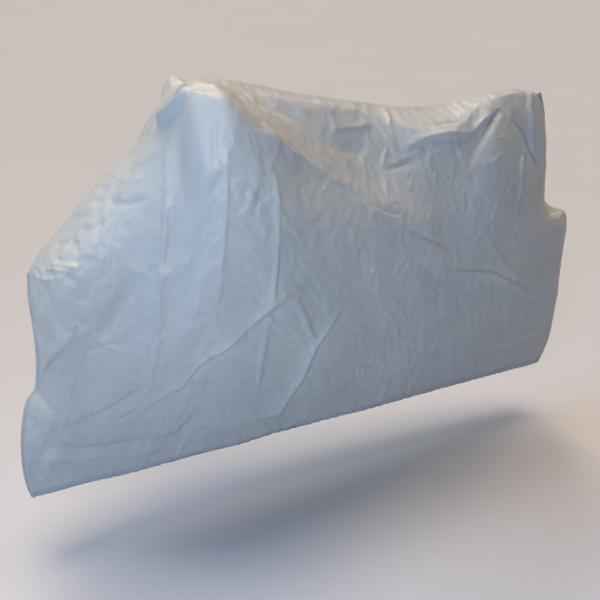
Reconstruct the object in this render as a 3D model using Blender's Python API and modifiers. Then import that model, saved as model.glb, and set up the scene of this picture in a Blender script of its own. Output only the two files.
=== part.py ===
"""A fitted bicycle cover: one sheet of thin coated cloth, draped and hanging.

The sheet is folded over its top line and sewn up at the front and the rear, so
that it is a bag that is open below. The front is at -X and the rear at +X, the
side with the negative Y is the near one, and +Z is up. The origin is the point
under the top line that holds the cover up.

Each side is a loft between unlike upright sections. A section gives seven
heights of the cloth from the top line to the hem, and the two sewn ends bow
along X by a table of their own. The folds are then raised or sunk along the
cloth's normals, each on its own path across the sheet.
"""

from typing import NamedTuple

import bmesh
import bpy
import numpy as np

# Driving dimensions, in metres.
THICKNESS = 0.002           # of the cloth
HOLD_HEIGHT = 1.1713        # of the origin, above the level that the tables start from
FRONT_REACH = 0.055         # how far from a sewn end its bow is felt
REAR_REACH = 0.16
SEAM_PLAIN = 0.035          # folds die out over this distance from a sewn end
ALONG_STEPS = 231           # lines across the sheet, from front to rear
DROP_STEPS = 121            # lines along each side, from the top line to the hem
KEPT_SHARE = 0.0450         # of the fine sheet's triangles, once the flat ones are merged
WELD_DISTANCE = 0.0001      # between the two layers of a sewn end

# How freely a curve is rounded at its points: 0 never overshoots.
LINE_LOOSENESS = 0.5        # of the top line and the hem, and of each section
LEVEL_LOOSENESS = 0.35      # of a level, from section to section
SEAM_LOOSENESS = 0.3        # of a sewn end
PATH_LOOSENESS = 0.8        # of a fold's path

PATH_POINTS = 29            # that a fold's path is drawn with
FOLD_RANGE = 3.0            # widths of a fold beyond which it isn't felt
FOLD_TAPER = 0.18           # share of its path over which each end of a fold dies out

CLOTH_COLOUR = (0.43, 0.49, 0.57, 1.0)
CLOTH_ROUGHNESS = 0.42


class Section(NamedTuple):
    """One upright section of a side: (y, z) at seven levels of the cloth.

    along is its place on the sheet, and the two x values are its place in
    space, at the top line and at the hem.
    """

    along: float
    top_x: float
    hem_x: float
    top: tuple[float, float]
    crown: tuple[float, float]
    brow: tuple[float, float]
    cheek: tuple[float, float]
    waist: tuple[float, float]
    skirt: tuple[float, float]
    hem: tuple[float, float]


class SeamPoint(NamedTuple):
    """A point of a sewn end, which lies close to the plane y = 0."""

    z: float
    x: float


class Fold(NamedTuple):
    """A crest in the cloth, or a trough where the lift is negative.

    The path's points are (along, drop): the place from front to rear, and the
    distance down the cloth from the top line. left and right are how far the
    fold spreads on each side of the path as it is walked.
    """

    name: str
    lift: float
    left: float
    right: float
    path: tuple[tuple[float, float], ...]


FRONT_END = Section(0.00, -0.822, -0.873, (0.060, 0.800), (0.060, 0.760), (0.055, 0.700),
                    (0.050, 0.620), (0.035, 0.500), (0.015, 0.360), (0.000, 0.197))
REAR_END = Section(1.85, 0.664, 0.903, (0.000, 1.166), (0.000, 1.100), (0.000, 1.020),
                   (0.000, 0.820), (0.000, 0.600), (0.000, 0.400), (0.000, 0.194))

NEAR_SIDE = (
    FRONT_END,
    Section(0.10, -0.790, -0.822, (0.060, 0.838), (-0.010, 0.840), (-0.070, 0.820),
            (-0.085, 0.700), (-0.080, 0.550), (-0.060, 0.380), (-0.030, 0.222)),
    Section(0.20, -0.720, -0.750, (0.050, 0.915), (-0.030, 0.920), (-0.100, 0.895),
            (-0.120, 0.780), (-0.120, 0.600), (-0.095, 0.420), (-0.055, 0.245)),
    Section(0.33, -0.625, -0.630, (0.030, 1.025), (-0.040, 1.030), (-0.105, 1.010),
            (-0.150, 0.880), (-0.165, 0.680), (-0.135, 0.460), (-0.085, 0.262)),
    Section(0.44, -0.540, -0.540, (0.000, 1.115), (-0.055, 1.135), (-0.112, 1.132),
            (-0.220, 0.965), (-0.222, 0.740), (-0.170, 0.500), (-0.105, 0.280)),
    Section(0.50, -0.492, -0.489, (-0.012, 1.206), (-0.100, 1.240), (-0.184, 1.249),
            (-0.252, 1.090), (-0.252, 0.775), (-0.192, 0.518), (-0.114, 0.288)),
    Section(0.54, -0.460, -0.455, (-0.020, 1.239), (-0.132, 1.259), (-0.212, 1.250),
            (-0.264, 1.125), (-0.262, 0.800), (-0.210, 0.530), (-0.120, 0.292)),
    Section(0.64, -0.370, -0.360, (-0.020, 1.242), (-0.085, 1.229), (-0.215, 1.186),
            (-0.281, 1.020), (-0.272, 0.780), (-0.220, 0.530), (-0.128, 0.298)),
    Section(0.82, -0.200, -0.180, (0.000, 1.206), (-0.058, 1.186), (-0.164, 1.078),
            (-0.236, 0.950), (-0.250, 0.740), (-0.215, 0.510), (-0.138, 0.308)),
    Section(1.03, 0.010, 0.040, (0.000, 1.172), (-0.038, 1.152), (-0.124, 1.028),
            (-0.195, 0.885), (-0.213, 0.690), (-0.190, 0.490), (-0.138, 0.305)),
    Section(1.25, 0.220, 0.280, (0.000, 1.146), (-0.108, 1.102), (-0.124, 1.035),
            (-0.166, 0.840), (-0.175, 0.660), (-0.160, 0.480), (-0.122, 0.293)),
    Section(1.45, 0.400, 0.500, (0.000, 1.165), (-0.052, 1.162), (-0.076, 1.145),
            (-0.150, 0.920), (-0.150, 0.660), (-0.132, 0.460), (-0.105, 0.280)),
    Section(1.64, 0.540, 0.700, (0.000, 1.178), (-0.030, 1.175), (-0.045, 1.155),
            (-0.099, 0.920), (-0.106, 0.640), (-0.102, 0.430), (-0.078, 0.258)),
    Section(1.76, 0.620, 0.820, (0.000, 1.172), (-0.026, 1.165), (-0.040, 1.130),
            (-0.050, 0.900), (-0.060, 0.620), (-0.060, 0.420), (-0.045, 0.230)),
    REAR_END,
)

FAR_SIDE = (
    FRONT_END,
    Section(0.10, -0.790, -0.822, (0.060, 0.838), (0.085, 0.830), (0.100, 0.800),
            (0.105, 0.700), (0.095, 0.550), (0.070, 0.380), (0.035, 0.222)),
    Section(0.20, -0.720, -0.750, (0.050, 0.915), (0.090, 0.905), (0.115, 0.870),
            (0.130, 0.780), (0.125, 0.600), (0.095, 0.420), (0.055, 0.245)),
    Section(0.33, -0.625, -0.630, (0.030, 1.025), (0.080, 1.010), (0.120, 0.970),
            (0.150, 0.880), (0.165, 0.680), (0.135, 0.460), (0.085, 0.262)),
    Section(0.44, -0.540, -0.540, (0.000, 1.115), (0.070, 1.090), (0.120, 1.050),
            (0.170, 0.940), (0.200, 0.740), (0.165, 0.500), (0.105, 0.280)),
    Section(0.50, -0.492, -0.489, (-0.012, 1.206), (0.076, 1.156), (0.152, 1.115),
            (0.198, 1.000), (0.225, 0.775), (0.184, 0.518), (0.114, 0.288)),
    Section(0.54, -0.455, -0.455, (-0.020, 1.239), (0.080, 1.190), (0.170, 1.150),
            (0.215, 1.030), (0.240, 0.800), (0.195, 0.530), (0.120, 0.292)),
    Section(0.62, -0.395, -0.380, (-0.020, 1.244), (0.130, 1.205), (0.235, 1.203),
            (0.260, 1.050), (0.250, 0.790), (0.200, 0.530), (0.125, 0.295)),
    Section(0.70, -0.320, -0.300, (-0.010, 1.228), (0.090, 1.180), (0.180, 1.120),
            (0.255, 1.000), (0.245, 0.780), (0.200, 0.530), (0.132, 0.302)),
    Section(0.82, -0.200, -0.180, (0.000, 1.206), (0.060, 1.170), (0.130, 1.090),
            (0.220, 0.970), (0.225, 0.740), (0.185, 0.510), (0.138, 0.308)),
    Section(1.03, 0.010, 0.040, (0.000, 1.172), (0.050, 1.140), (0.110, 1.060),
            (0.190, 0.900), (0.195, 0.690), (0.165, 0.490), (0.138, 0.305)),
    Section(1.25, 0.220, 0.280, (0.000, 1.146), (0.050, 1.115), (0.090, 1.050),
            (0.150, 0.860), (0.155, 0.660), (0.140, 0.480), (0.122, 0.293)),
    Section(1.45, 0.400, 0.500, (0.000, 1.165), (0.055, 1.140), (0.090, 1.100),
            (0.120, 0.900), (0.125, 0.660), (0.120, 0.460), (0.105, 0.280)),
    Section(1.64, 0.540, 0.700, (0.000, 1.178), (0.035, 1.165), (0.060, 1.130),
            (0.085, 0.920), (0.095, 0.640), (0.095, 0.430), (0.078, 0.258)),
    Section(1.76, 0.620, 0.820, (0.000, 1.172), (0.026, 1.160), (0.040, 1.120),
            (0.050, 0.900), (0.060, 0.620), (0.060, 0.420), (0.045, 0.230)),
    REAR_END,
)

FRONT_SEAM = (
    SeamPoint(0.197, -0.873), SeamPoint(0.240, -0.883), SeamPoint(0.300, -0.887),
    SeamPoint(0.360, -0.884), SeamPoint(0.430, -0.871), SeamPoint(0.480, -0.852),
    SeamPoint(0.495, -0.836), SeamPoint(0.520, -0.830), SeamPoint(0.610, -0.822),
    SeamPoint(0.680, -0.824), SeamPoint(0.730, -0.826), SeamPoint(0.800, -0.822),
)
REAR_SEAM = (
    SeamPoint(0.194, 0.903), SeamPoint(0.250, 0.917), SeamPoint(0.310, 0.927),
    SeamPoint(0.420, 0.926), SeamPoint(0.550, 0.911), SeamPoint(0.660, 0.898),
    SeamPoint(0.730, 0.892), SeamPoint(0.775, 0.866), SeamPoint(0.797, 0.800),
    SeamPoint(0.825, 0.768), SeamPoint(0.860, 0.760), SeamPoint(0.985, 0.730),
    SeamPoint(1.110, 0.692), SeamPoint(1.166, 0.664),
)

NEAR_FOLDS = (
    # From the near peak.
    Fold("lip", 0.013, 0.009, 0.010,
         ((0.512, 0.1), (0.487, 0.118), (0.474, 0.096), (0.466, 0.065), (0.467, 0.01))),
    Fold("lip hollow", -0.012, 0.014, 0.014,
         ((0.51, 0.02), (0.498, 0.055), (0.486, 0.08))),
    Fold("peak crest", 0.002, 0.020, 0.020,
         ((0.52, 0.27), (0.53, 0.36), (0.525, 0.5), (0.517, 0.7), (0.513, 0.9))),
    Fold("hanging band", 0.007, 0.018, 0.018,
         ((0.50, 0.11), (0.475, 0.19), (0.48, 0.27), (0.50, 0.38))),
    Fold("hollow band", -0.007, 0.022, 0.024,
         ((0.49, 0.09), (0.46, 0.16), (0.43, 0.24), (0.39, 0.36))),
    Fold("swag", 0.010, 0.045, 0.030,
         ((0.55, 0.262), (0.63, 0.235), (0.7, 0.23), (0.78, 0.23), (0.88, 0.248), (0.96, 0.285),
          (1.12, 0.333), (1.24, 0.41))),
    Fold("swag, rear", 0.009, 0.045, 0.026,
         ((1.15, 0.425), (1.21, 0.468), (1.3, 0.498), (1.4, 0.53), (1.51, 0.578), (1.64, 0.643),
          (1.76, 0.7))),
    Fold("strip edge", 0.005, 0.018, 0.018,
         ((0.72, 0.045), (0.8, 0.058), (0.86, 0.06), (0.92, 0.052), (0.995, 0.042), (1.05, 0.03))),
    Fold("valley", -0.008, 0.028, 0.022,
         ((0.68, 0.06), (0.76, 0.09), (0.81, 0.105), (0.86, 0.13), (0.91, 0.15), (0.97, 0.155),
          (1.03, 0.14))),
    Fold("lens crest", 0.003, 0.022, 0.010,
         ((0.9, 0.108), (0.95, 0.1), (1.0, 0.09), (1.05, 0.075))),
    # Round the rear corner of the top.
    Fold("top ledge", 0.005, 0.030, 0.012,
         ((1.1, 0.145), (1.15, 0.132), (1.21, 0.121), (1.35, 0.122), (1.42, 0.102), (1.52, 0.065))),
    Fold("cross crease", 0.001, 0.010, 0.008,
         ((1.036, 0.027), (1.065, 0.072), (1.086, 0.124), (1.1, 0.15))),
    Fold("tuck", -0.002, 0.010, 0.014,
         ((1.046, 0.199), (1.077, 0.19), (1.122, 0.182), (1.156, 0.175), (1.21, 0.155))),
    Fold("corner hollow", -0.006, 0.014, 0.022,
         ((1.51, 0.075), (1.46, 0.11), (1.43, 0.13), (1.37, 0.172), (1.33, 0.22))),
    Fold("corner crest", 0.004, 0.010, 0.014,
         ((1.52, 0.08), (1.573, 0.128), (1.6, 0.19), (1.575, 0.245), (1.566, 0.296), (1.549, 0.354),
          (1.547, 0.43))),
    Fold("corner hollow, lower", -0.003, 0.012, 0.012,
         ((1.57, 0.16), (1.59, 0.2), (1.595, 0.26), (1.568, 0.335), (1.555, 0.42))),
    Fold("rear hollow", -0.008, 0.030, 0.022,
         ((1.54, 0.095), (1.6, 0.145), (1.66, 0.19), (1.74, 0.262))),
    Fold("rear edge", 0.003, 0.016, 0.014,
         ((1.76, 0.01), (1.68, 0.07), (1.665, 0.13), (1.665, 0.18), (1.72, 0.24))),
    Fold("rear pull", 0.005, 0.014, 0.020,
         ((1.39, 0.42), (1.45, 0.49), (1.50, 0.535), (1.58, 0.585))),
    Fold("rear pull, lower", 0.004, 0.014, 0.016,
         ((1.53, 0.44), (1.55, 0.50), (1.59, 0.56))),
    # At the front, below the slope.
    Fold("front tuck", 0.004, 0.007, 0.030,
         ((0.16, 0.332), (0.14, 0.318), (0.1, 0.302), (0.055, 0.275), (0.02, 0.284), (0.0, 0.302))),
    Fold("soft hollow", -0.008, 0.018, 0.030,
         ((0.33, 0.29), (0.3, 0.325), (0.26, 0.35), (0.22, 0.38))),
    Fold("gather, upper", -0.007, 0.014, 0.022,
         ((0.06, 0.48), (0.12, 0.545), (0.19, 0.585), (0.285, 0.606), (0.36, 0.61))),
    Fold("gather, middle", -0.006, 0.014, 0.020,
         ((0.04, 0.49), (0.12, 0.60), (0.20, 0.69), (0.30, 0.76), (0.43, 0.90), (0.52, 1.10))),
    Fold("gather, lower", 0.009, 0.022, 0.012,
         ((0.04, 0.53), (0.10, 0.62), (0.17, 0.695), (0.25, 0.75), (0.34, 0.835), (0.43, 0.915))),
    # Across the middle and along the hem.
    Fold("long diagonal", 0.006, 0.016, 0.022,
         ((0.76, 0.515), (0.705, 0.557), (0.674, 0.591), (0.633, 0.639), (0.598, 0.697),
          (0.554, 0.769), (0.505, 0.79), (0.46, 0.735), (0.41, 0.688), (0.3, 0.672))),
    Fold("crest", 0.006, 0.014, 0.020,
         ((0.88, 0.555), (0.845, 0.613), (0.818, 0.657), (0.795, 0.72), (0.781, 0.784),
          (0.752, 0.867), (0.69, 1.03))),
    Fold("crest, fork", 0.003, 0.012, 0.012,
         ((0.72, 0.57), (0.756, 0.611), (0.777, 0.643), (0.8, 0.68))),
    Fold("hem roll", 0.009, 0.045, 0.010,
         ((0.46, 1.04), (0.59, 1.062), (0.695, 0.975), (0.824, 0.878), (0.95, 0.858),
          (1.107, 0.803), (1.28, 0.803), (1.48, 0.828), (1.65, 0.822), (1.8, 0.82))),
    Fold("packing crease, front", 0.003, 0.010, 0.010,
         ((0.44, 0.11), (0.42, 0.18), (0.40, 0.25), (0.385, 0.34), (0.373, 0.47), (0.355, 0.64))),
    Fold("packing crease, middle", 0.003, 0.010, 0.010,
         ((0.662, 0.29), (0.658, 0.36), (0.66, 0.45), (0.658, 0.57), (0.652, 0.68), (0.655, 0.9))),
)

FAR_FOLDS = (
    Fold("peak crest", 0.012, 0.022, 0.022,
         ((0.62, 0.27), (0.61, 0.42), (0.62, 0.60), (0.60, 0.88))),
    Fold("band", -0.012, 0.028, 0.028,
         ((0.55, 0.16), (0.50, 0.28), (0.46, 0.42), (0.45, 0.58))),
    Fold("swag", 0.022, 0.060, 0.024,
         ((0.65, 0.27), (0.76, 0.27), (0.93, 0.34), (1.20, 0.41), (1.50, 0.57), (1.74, 0.63))),
    Fold("valley", -0.018, 0.045, 0.050,
         ((0.70, 0.13), (0.82, 0.12), (0.98, 0.15), (1.08, 0.22))),
    Fold("top ledge", 0.012, 0.050, 0.012,
         ((1.14, 0.16), (1.26, 0.13), (1.40, 0.13), (1.50, 0.09))),
    Fold("corner crest", 0.012, 0.018, 0.022,
         ((1.50, 0.10), (1.54, 0.20), (1.56, 0.32), (1.53, 0.44))),
    Fold("rear pull", 0.009, 0.016, 0.022,
         ((1.28, 0.44), (1.42, 0.56), (1.56, 0.62))),
    Fold("front tuck", -0.012, 0.016, 0.022,
         ((0.15, 0.33), (0.10, 0.34), (0.05, 0.32))),
    Fold("gather, upper", -0.010, 0.016, 0.022,
         ((0.07, 0.50), (0.15, 0.60), (0.27, 0.66), (0.38, 0.64))),
    Fold("gather, lower", 0.010, 0.022, 0.012,
         ((0.10, 0.62), (0.21, 0.73), (0.35, 0.83), (0.46, 1.00))),
    Fold("long diagonal", 0.009, 0.016, 0.020,
         ((0.98, 0.48), (0.88, 0.62), (0.77, 0.72), (0.62, 0.80), (0.50, 0.77))),
    Fold("crest", 0.010, 0.016, 0.020,
         ((1.22, 0.52), (1.14, 0.64), (1.10, 0.76), (1.02, 0.86))),
    Fold("hem roll", 0.010, 0.040, 0.016,
         ((0.50, 1.04), (0.74, 0.98), (1.05, 0.86), (1.40, 0.82), (1.74, 0.83))),
)


def slopes(places: np.ndarray, values: np.ndarray, looseness: float) -> np.ndarray:
    """Slopes through the points: none that overshoots at 0, freely rounded at 1."""
    gaps = np.diff(places)[:, None]
    steep = np.diff(values, axis=0) / gaps
    same = steep[:-1] * steep[1:] > 0.0
    before = np.where(same, steep[:-1], 1.0)
    after = np.where(same, steep[1:], 1.0)
    weight_before = 2.0 * gaps[1:] + gaps[:-1]
    weight_after = gaps[1:] + 2.0 * gaps[:-1]
    mean = (weight_before + weight_after) / (weight_before / before + weight_after / after)
    tight = np.zeros_like(values)
    tight[0] = steep[0]
    tight[1:-1] = np.where(same, mean, 0.0)
    tight[-1] = steep[-1]
    free = np.gradient(values, places, axis=0)
    return tight * (1.0 - looseness) + free * looseness


def curve(places, values, at: np.ndarray, looseness: float) -> np.ndarray:
    """A smooth curve's values at any place, one row for each."""
    places = np.asarray(places, dtype=float)
    values = np.asarray(values, dtype=float).reshape(len(places), -1)
    slope = slopes(places, values, looseness)
    span = np.clip(np.searchsorted(places, at, side="right") - 1, 0, len(places) - 2)
    gap = (places[span + 1] - places[span])[:, None]
    t = (at[:, None] - places[span][:, None]) / gap
    rise = 3.0 * t**2 - 2.0 * t**3
    return (values[span] * (1.0 - rise) + values[span + 1] * rise
            + gap * slope[span] * (t**3 - 2.0 * t**2 + t)
            + gap * slope[span + 1] * (t**3 - t**2))


def side_surface(table: tuple[Section, ...], alongs: np.ndarray, shares: np.ndarray):
    """Points (along, down, xyz) of one side without its folds, and their drops."""
    places = [row.along for row in table]
    top_x = curve(places, [row.top_x for row in table], alongs, LINE_LOOSENESS)
    hem_x = curve(places, [row.hem_x for row in table], alongs, LINE_LOOSENESS)
    levels = [curve(places, level, alongs, LEVEL_LOOSENESS)
              for level in list(zip(*table))[Section._fields.index("top"):]]
    points = np.zeros((len(alongs), len(shares), 3))
    drops = np.zeros((len(alongs), len(shares)))
    for i, section in enumerate(np.stack(levels, axis=1)):
        steps = np.hypot(*np.diff(section, axis=0).T)
        lengths = np.concatenate([[0.0], np.cumsum(steps)])
        drops[i] = shares * lengths[-1]
        points[i, :, 1:] = curve(lengths, section, drops[i], LINE_LOOSENESS)
        fall = (section[0, 1] - points[i, :, 2]) / (section[0, 1] - section[-1, 1])
        points[i, :, 0] = top_x[i] + (hem_x[i] - top_x[i]) * np.clip(fall, 0.0, 1.0)
    for seam, distances, reach in ((FRONT_SEAM, alongs, FRONT_REACH),
                                   (REAR_SEAM, alongs[-1] - alongs, REAR_REACH)):
        low, high = seam[0], seam[-1]
        z = np.clip(points[:, :, 2], low.z, high.z)
        bow = curve([p.z for p in seam], [p.x for p in seam], z.ravel(), SEAM_LOOSENESS)
        straight = low.x + (high.x - low.x) * (z - low.z) / (high.z - low.z)
        points[:, :, 0] += (bow.reshape(z.shape) - straight) * np.exp(
            -(distances[:, None] / reach)**2)
    return points, drops


def fold_lift(folds: tuple[Fold, ...], alongs: np.ndarray, drops: np.ndarray) -> np.ndarray:
    """How far the folds raise the cloth at each point of a side."""
    lift = np.zeros(drops.shape)
    cloth = np.stack([alongs, drops], axis=-1)
    for fold in folds:
        knots = np.array(fold.path)
        lengths = np.concatenate([[0.0], np.cumsum(np.hypot(*np.diff(knots, axis=0).T))])
        line = curve(lengths, knots, np.linspace(0.0, lengths[-1], PATH_POINTS), PATH_LOOSENESS)
        start, step = line[:-1], np.diff(line, axis=0)
        reach = FOLD_RANGE * max(fold.left, fold.right)
        near = ((cloth > line.min(axis=0) - reach) & (cloth < line.max(axis=0) + reach)).all(-1)
        if not near.any():
            continue
        offset = cloth[near][:, None] - start
        t = np.clip((offset * step).sum(-1) / (step**2).sum(-1), 0.0, 1.0)
        miss = offset - t[..., None] * step
        distance = np.hypot(miss[..., 0], miss[..., 1])
        nearest = distance.argmin(axis=1)
        row = np.arange(len(nearest))
        heading = step[nearest]
        arm = offset[row, nearest]
        on_right = heading[:, 0] * arm[:, 1] - heading[:, 1] * arm[:, 0] > 0.0
        width = np.where(on_right, fold.right, fold.left)
        walked = (nearest + t[row, nearest]) / len(start)
        taper = np.clip(np.minimum(walked, 1.0 - walked) / FOLD_TAPER, 0.0, 1.0)
        taper = taper**2 * (3.0 - 2.0 * taper)
        lift[near] += fold.lift * taper * np.exp(-(distance[row, nearest] / width)**2)
    plain = np.clip(np.minimum(alongs, alongs.max() - alongs) / SEAM_PLAIN, 0.0, 1.0)
    return lift * plain**2 * (3.0 - 2.0 * plain)


def draped_sheet() -> np.ndarray:
    """Points of the whole folded sheet, from the near hem over the top to the far hem."""
    alongs = np.linspace(0.0, NEAR_SIDE[-1].along, ALONG_STEPS)
    shares = np.linspace(0.0, 1.0, DROP_STEPS)
    near, near_drops = side_surface(NEAR_SIDE, alongs, shares)
    far, far_drops = side_surface(FAR_SIDE, alongs, shares)
    places = np.repeat(alongs[:, None], DROP_STEPS, axis=1)
    near_lift = fold_lift(NEAR_FOLDS, places, near_drops)
    far_lift = fold_lift(FAR_FOLDS, places, far_drops)
    sheet = np.concatenate([near[:, :0:-1], far], axis=1)
    lift = np.concatenate([near_lift[:, :0:-1], far_lift], axis=1)
    lift[:, DROP_STEPS - 1] = (near_lift[:, 0] + far_lift[:, 0]) / 2.0
    normals = np.cross(np.gradient(sheet, axis=0), np.gradient(sheet, axis=1))
    normals /= np.linalg.norm(normals, axis=-1, keepdims=True) + 1e-9
    sheet = sheet + normals * lift[..., None]
    sheet[:, :, 2] -= HOLD_HEIGHT
    return sheet


def cloth_material() -> bpy.types.Material:
    """The coated cloth: pale blue-grey, half glossy."""
    material = bpy.data.materials.new("coated_cloth")
    material.use_nodes = True
    shader = material.node_tree.nodes["Principled BSDF"]
    shader.inputs["Base Color"].default_value = CLOTH_COLOUR
    shader.inputs["Roughness"].default_value = CLOTH_ROUGHNESS
    shader.inputs["Metallic"].default_value = 0.0
    material.diffuse_color = CLOTH_COLOUR
    return material


def build_cover(collection: bpy.types.Collection) -> bpy.types.Object:
    """The cover: a flat grid folded into place, sewn at both ends and thickened."""
    points = draped_sheet()
    rows, lines = points.shape[:2]
    shape = bmesh.new()
    bmesh.ops.create_grid(shape, x_segments=rows - 1, y_segments=lines - 1, size=1.0)
    for vert in shape.verts:
        i = round((vert.co.x + 1.0) / 2.0 * (rows - 1))
        j = round((vert.co.y + 1.0) / 2.0 * (lines - 1))
        vert.co = points[i, j]
    bmesh.ops.remove_doubles(shape, verts=shape.verts, dist=WELD_DISTANCE)
    bmesh.ops.triangulate(shape, faces=shape.faces)
    mesh = bpy.data.meshes.new("cover")
    shape.to_mesh(mesh)
    shape.free()
    mesh.materials.append(cloth_material())
    mesh.shade_smooth()
    cover = bpy.data.objects.new("cover", mesh)
    collection.objects.link(cover)

    merge = cover.modifiers.new("Merge flat triangles", "DECIMATE")
    merge.decimate_type = "COLLAPSE"
    merge.ratio = KEPT_SHARE
    merge.use_collapse_triangulate = True

    thicken = cover.modifiers.new("Cloth thickness", "SOLIDIFY")
    thicken.thickness = THICKNESS
    thicken.offset = -1.0
    thicken.use_even_offset = False
    thicken.use_rim = True
    return cover


def main() -> None:
    """Clears the scene and builds the cover in its own collection."""
    for old in list(bpy.data.objects):
        bpy.data.objects.remove(old, do_unlink=True)
    collection = bpy.data.collections.new("Bicycle cover")
    bpy.context.scene.collection.children.link(collection)
    build_cover(collection)


main()
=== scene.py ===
"""The looks of a fitted bicycle cover: one sheet of thin coated cloth, draped.

The sheet is folded over its top line and sewn up at the front and the rear. Its
drape is a loft between upright sections, with the main folds raised along paths
on the cloth. The cloth simulation then crumples it, and crisp creases finish it.
"""

import logging  # noqa: E402
import math  # noqa: E402
from dataclasses import dataclass  # noqa: E402
from enum import Enum  # noqa: E402

import bmesh  # noqa: E402
import bpy  # noqa: E402
import numpy as np  # noqa: E402
from mathutils import Matrix, Vector  # noqa: E402
from numpy.typing import ArrayLike  # noqa: E402


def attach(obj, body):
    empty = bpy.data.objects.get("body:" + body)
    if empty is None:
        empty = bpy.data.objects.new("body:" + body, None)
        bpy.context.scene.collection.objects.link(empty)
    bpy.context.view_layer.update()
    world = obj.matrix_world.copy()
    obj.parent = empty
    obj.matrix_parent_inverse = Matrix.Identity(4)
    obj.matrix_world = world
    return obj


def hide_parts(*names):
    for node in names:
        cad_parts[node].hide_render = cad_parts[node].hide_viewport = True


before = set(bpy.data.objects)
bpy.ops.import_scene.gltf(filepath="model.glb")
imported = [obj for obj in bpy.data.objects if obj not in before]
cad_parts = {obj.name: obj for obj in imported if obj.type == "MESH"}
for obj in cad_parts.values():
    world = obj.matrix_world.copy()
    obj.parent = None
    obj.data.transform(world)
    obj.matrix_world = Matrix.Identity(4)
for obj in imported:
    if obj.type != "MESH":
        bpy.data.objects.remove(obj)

LOG = logging.getLogger("bicycle_cover")

HOLD_HEIGHT = 1.1713
"""Height of the origin above the floor, in metres. The tables start at the floor."""
CREASE_GAIN = 1.4
"""How much higher each crease stands than its table says."""
SEAM_LOOSENESS, LEVEL_LOOSENESS, LINE_LOOSENESS, PATH_LOOSENESS = 0.3, 0.35, 0.5, 0.8
"""How freely the curves of the sewn ends, levels, long lines and folds are rounded."""
CRISP_RANGE = 3.2
"""How many of its widths away a crisp fold ends."""
CREASE_TAPER = 0.3
"""The share of a crease's path over which it fades in at either end."""
MILLIMETRES, TENTHS = 1000.0, 10000.0
"""How many millimetres, and tenths of a millimetre, a metre has."""
TINY = 1e-9
"""Keeps a division from one by zero."""

Points = tuple[tuple[float, float], ...]


@dataclass(frozen=True)
class Section:
    """One upright section of a side: (y, z) at seven levels, from the top line to the hem."""

    along: float
    top_x: float
    hem_x: float
    levels: Points


@dataclass(frozen=True)
class Seam:
    """A sewn end, as (z, x) from the hem up. It lies close to the plane y = 0.

    reach is how far along the cloth its bow fades out.
    """

    reach: float
    points: Points

    def bow(self, heights: np.ndarray) -> np.ndarray:
        """Reads the end's bow.

        Args:
            heights: heights above the floor.

        Returns:
            How far the end lies along X from straight, at each height.
        """
        (low_z, low_x), (high_z, high_x) = self.points[0], self.points[-1]
        z = np.clip(heights, low_z, high_z)
        bowed = curve(*zip(*self.points), z.ravel(), SEAM_LOOSENESS).reshape(z.shape)
        return bowed - (low_x + (high_x - low_x) * (z - low_z) / (high_z - low_z))


class Profile(Enum):
    """The cross section of a fold."""

    SOFT = "soft"
    CRISP = "crisp"


@dataclass(frozen=True)
class Fold:
    """A crest in the cloth, or a trough where the lift is negative.

    The path's points are (along, drop): the place from front to rear, and the
    distance down the cloth from the top line. left and right are how far the
    fold spreads on each side of the path as it is walked.
    """

    name: str
    lift: float
    left: float
    right: float
    path: Points
    profile: Profile = Profile.SOFT


@dataclass(frozen=True)
class Facets:
    """Shallow cones about scattered points, which meet in the sharp lines of creased cloth.

    heading is the way in which they are drawn out, in degrees from front to rear
    and down, and stretch how far. front_share is how much is left of them at the
    front, where the cloth hangs the smoothest, up to front_end along it.
    """

    seed: int
    points: int
    steepness: float
    heading: float
    stretch: float
    front_share: float = 0.45
    front_end: float = 0.45
    change: float = 0.30

    def lift(self, alongs: np.ndarray, drops: np.ndarray) -> np.ndarray:
        """Raises the cones.

        Args:
            alongs: each point's place from front to rear.
            drops: each point's drop from the top line.

        Returns:
            How far each point is raised, in metres, and 0 on average.
        """
        turn = math.radians(self.heading)
        axes = np.array([[math.cos(turn), math.sin(turn)], [-math.sin(turn), math.cos(turn)]])
        axes[0] /= self.stretch
        chance = np.random.default_rng(self.seed)
        scattered = chance.uniform(0.0, 1.0, (self.points, 2)) * (alongs.max(), drops.max())
        centres = scattered @ axes.T
        nearest = np.empty(drops.shape)
        for row, line in enumerate(np.stack([alongs, drops], axis=-1) @ axes.T):
            nearest[row] = ((line[:, None] - centres) ** 2).sum(-1).min(axis=1)
        away = np.sqrt(nearest)
        rise = np.clip((alongs - self.front_end) / self.change, 0.0, 1.0)
        share = self.front_share + eased(rise, 1.0 - self.front_share)
        return self.steepness * share * (away - away.mean())


@dataclass(frozen=True)
class CrumpleZone:
    """A part of a side where the coating has small random creases."""

    along: float
    drop: float
    reach: float
    count: int
    heading: float
    spread: float
    height: float
    length: float = 0.09
    width: float = 0.006


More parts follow.
